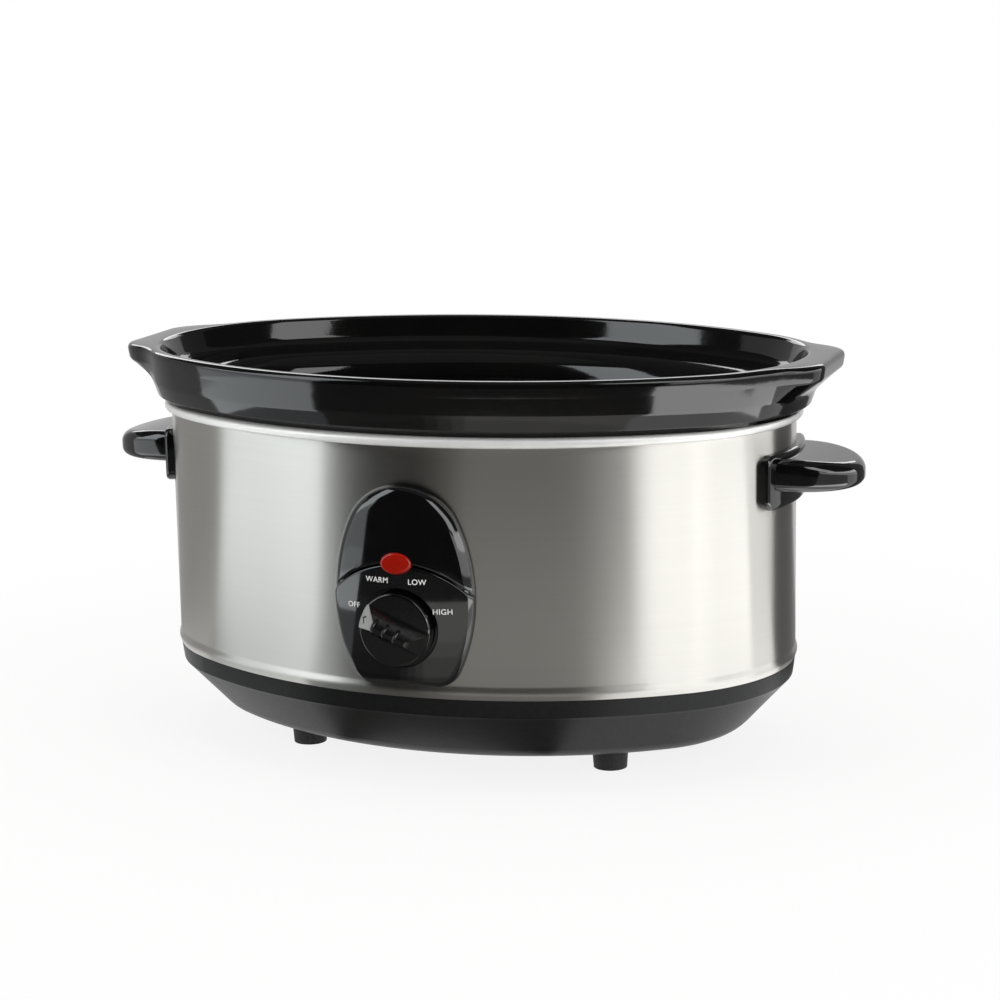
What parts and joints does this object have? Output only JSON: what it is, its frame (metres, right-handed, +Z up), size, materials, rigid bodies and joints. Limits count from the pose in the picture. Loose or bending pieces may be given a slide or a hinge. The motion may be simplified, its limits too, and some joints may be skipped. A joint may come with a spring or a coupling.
{
  "type": "slow cooker",
  "caption": "Oval slow cooker: black glazed crock that lifts out of a brushed steel body on a dark base, with end handles, a front rotary knob and a red lamp.",
  "frame": {"origin": "centre of the cooker's footprint on the surface that it stands on, under its overall box", "axes": "+X along the cooker's length to the viewer's right, -Y towards the front with the control panel, +Z up"},
  "size_m": [0.403, 0.2511, 0.2055],
  "materials": {
    "crock_glaze": "black glazed stoneware",
    "steel_sheet": "stainless sheet brushed round the body",
    "pot_metal": "pale formed aluminium with a rolled rim",
    "base_plastic": "satin dark moulded plastic",
    "gloss_plastic": "gloss black moulded plastic",
    "foot_rubber": "black rubber",
    "pointer_white": "white plastic facet",
    "lens_red": "clear red plastic",
    "screw_steel": "bright plated steel",
    "plated_sheet": "galvanised steel",
    "heater_mica": "mica and glass-cloth band",
    "fuse_white": "white ceramic",
    "switch_plastic": "pale heat-resistant plastic",
    "brass_blade": "brass",
    "lead_sleeve": "white glass-fibre sleeve",
    "lamp_glass": "neon lamp glass"
  },
  "bodies": {
    "cooker": {"heating_pot": "pot_metal", "steel_wrap": "steel_sheet", "wrap_seam_strip": "plated_sheet", "base_pan": "base_plastic", "foot_screws": "screw_steel", "heat_reflector": "plated_sheet", "reflector_screws": "screw_steel", "tie_strap": "plated_sheet", "tie_rods": "screw_steel", "tie_nuts": "screw_steel", "heating_band": "heater_mica", "band_clamp": "plated_sheet", "clamp_screw": "screw_steel", "fuse_clip": "plated_sheet", "thermal_fuse": "fuse_white", "terminal_block": "fuse_white", "terminal_screws": "screw_steel", "heater_leads": "lead_sleeve", "switch_lead": "lead_sleeve", "handle_right": "gloss_plastic", "handle_left": "gloss_plastic", "handle_bracket_right": "plated_sheet", "handle_bracket_left": "plated_sheet", "handle_screws": "screw_steel", "control_panel": "gloss_plastic", "panel_screws": "screw_steel", "switch_body": "switch_plastic", "switch_screws": "screw_steel", "switch_terminals": "brass_blade", "indicator_lens": "lens_red", "lamp_holder": "switch_plastic", "neon_lamp": "lamp_glass", "cord_gland": "base_plastic", "foot_front_left": "foot_rubber", "foot_rear_left": "foot_rubber", "foot_front_right": "foot_rubber", "foot_rear_right": "foot_rubber"},
    "crock": {"crock": "crock_glaze"},
    "knob": {"control_knob": "gloss_plastic", "knob_pointer": "pointer_white", "switch_rotor": "brass_blade"}
  },
  "joints": [
    {"name": "crock_lift", "type": "slide", "parent": "cooker", "child": "crock", "axis": [0, 0, 1], "range_m": [0, 0.16]},
    {"name": "knob_turn", "type": "hinge", "parent": "cooker", "child": "knob", "pos_m": [0, -0.1007, 0.086], "axis": [0, -1, 0], "range_deg": [-135, 0]}
  ]
}
